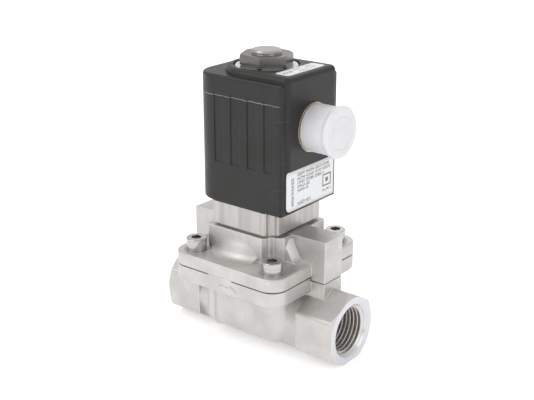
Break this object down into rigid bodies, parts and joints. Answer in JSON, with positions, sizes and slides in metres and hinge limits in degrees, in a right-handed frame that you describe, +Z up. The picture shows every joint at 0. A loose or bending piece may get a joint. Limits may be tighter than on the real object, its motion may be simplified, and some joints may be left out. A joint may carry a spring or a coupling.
{
  "type": "solenoid valve",
  "caption": "Servo-assisted stainless solenoid valve with threaded ports, bolted square cover, machined pilot block, black coil and capped side connector.",
  "frame": {"origin": "centre of the flat underside, on the axis of the guide tube", "axes": "+X along the flow towards the outlet port, +Z up along the guide tube, +Y across the valve"},
  "size_m": [0.088, 0.059, 0.1237],
  "materials": {
    "cast_steel": "fine matt blasted casting",
    "machined_steel": "machined, fine tool lines",
    "bright_steel": "bright turned and polished",
    "magnet_steel": "ground magnetic stainless",
    "rubber_black": "moulded seal rubber",
    "ptfe": "turned white bearing plastic",
    "spring_steel": "drawn wire",
    "coil_black": "satin black moulding",
    "bobbin_plastic": "natural moulding",
    "copper": "enamelled copper",
    "brass": "turned brass",
    "gold_contact": "plated contact",
    "insert_grey": "dark grey moulding",
    "cap_white": "translucent white moulding",
    "label_white": "printed film"
  },
  "bodies": {
    "valve": {"valve_body": "cast_steel", "cover": "cast_steel", "cover_screws": "bright_steel", "screw_washers": "bright_steel", "cover_seal": "rubber_black", "channel_seals": "rubber_black", "feed_jet": "brass", "piston_spring": "spring_steel", "pilot_seat": "machined_steel", "pilot_block": "machined_steel", "block_screws": "bright_steel", "guide_tube": "machined_steel", "tube_seal": "rubber_black", "stopper": "magnet_steel", "shading_ring": "copper", "armature_spring": "spring_steel", "coil_gasket": "rubber_black", "top_washer": "bright_steel", "coil_nut": "machined_steel", "nut_seal": "rubber_black"},
    "piston": {"piston": "machined_steel", "piston_ring": "ptfe", "piston_seat_seal": "rubber_black", "seal_retainer": "machined_steel", "seal_screw": "bright_steel"},
    "armature": {"armature": "magnet_steel", "armature_seal": "rubber_black"},
    "coil": {"coil_housing": "coil_black", "magnet_frame": "magnet_steel", "coil_bobbin": "bobbin_plastic", "coil_winding": "copper", "connector_collar": "brass", "connector_shell": "machined_steel", "connector_insert": "insert_grey", "contact_pins": "gold_contact", "front_label": "label_white", "top_label": "label_white"},
    "cap": {"protective_cap": "cap_white"}
  },
  "joints": [
    {"name": "piston_lift", "type": "slide", "parent": "valve", "child": "piston", "axis": [0, 0, 1], "range_m": [0, 0.005], "stiffness_N_per_m": 400, "springref_m": -0.008, "deforming": ["piston_spring"]},
    {"name": "armature_lift", "type": "slide", "parent": "valve", "child": "armature", "axis": [0, 0, 1], "range_m": [0, 0.0016], "stiffness_N_per_m": 600, "springref_m": -0.006, "deforming": ["armature_spring"]},
    {"name": "coil_swivel", "type": "hinge", "parent": "valve", "child": "coil", "pos_m": [0, 0, 0.0625], "axis": [0, 0, 1], "continuous": true},
    {"name": "cap_pull", "type": "slide", "parent": "coil", "child": "cap", "axis": [1, 0, 0], "range_m": [0, 0.014]}
  ]
}
